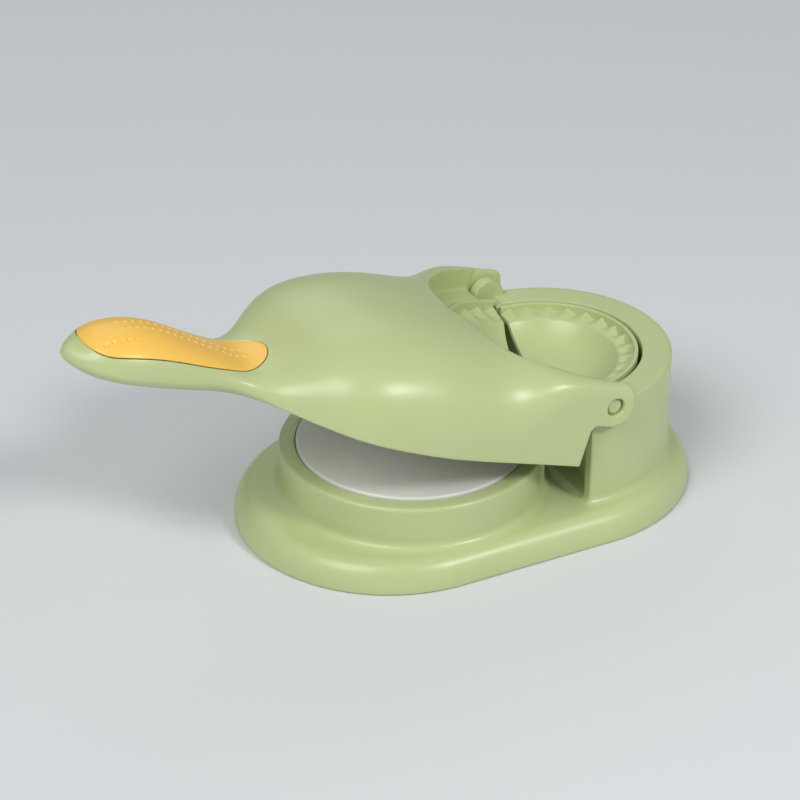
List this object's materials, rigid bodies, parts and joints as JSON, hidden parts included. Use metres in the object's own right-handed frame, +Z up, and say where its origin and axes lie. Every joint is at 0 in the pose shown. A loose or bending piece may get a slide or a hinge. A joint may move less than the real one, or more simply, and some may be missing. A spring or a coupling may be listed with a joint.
{
  "type": "dumpling maker",
  "caption": "Hand-lever dumpling maker: a round press plate flattens dough under a hinged lid with handle, and two toothed half moulds fold and crimp the filled dumpling.",
  "frame": {"origin": "centre of the base's round-ended footprint, on the surface that it stands on", "axes": "+X along the base from the press plate to the mould drum, the handle points to -X; +Y across, along the hinge axis; +Z up"},
  "size_m": [0.2565, 0.1208, 0.1103],
  "materials": {
    "green_plastic": "satin sage-green moulded polypropylene",
    "grip_soft": "orange-yellow soft-touch over-moulded rubber",
    "plate_white": "white food-grade plastic, smooth",
    "steel": "plain steel fasteners",
    "pin_green": "sage-green moulded hinge pin",
    "nylon": "natural nylon bush or washer",
    "foot_rubber": "dark olive non-slip rubber"
  },
  "bodies": {
    "base": {"base_shell": "green_plastic", "bottom_cover": "green_plastic", "bottom_cover_screws": "steel", "lower_press_plate": "plate_white", "rear_mould_half": "green_plastic", "rear_mould_screws": "steel", "hinge_pin_near": "pin_green", "hinge_pin_far": "pin_green", "friction_washer_near": "nylon", "friction_washer_far": "nylon", "foot_front_near": "foot_rubber", "foot_front_far": "foot_rubber", "foot_rear_near": "foot_rubber", "foot_rear_far": "foot_rubber", "foot_centre": "foot_rubber"},
    "lever": {"lever_shell": "green_plastic", "handle_lower_shell": "green_plastic", "handle_screws": "steel", "handle_grip": "grip_soft", "upper_press_disc": "plate_white", "press_disc_screws": "steel", "front_mould_leaf": "green_plastic", "leaf_screws": "steel", "hinge_bush_near": "nylon", "hinge_bush_far": "nylon"}
  },
  "joints": [
    {"name": "lever_hinge", "type": "hinge", "parent": "base", "child": "lever", "pos_m": [0.0352, 0, 0.0559], "axis": [0, 1, 0], "range_deg": [-18.5, 161.5]}
  ]
}
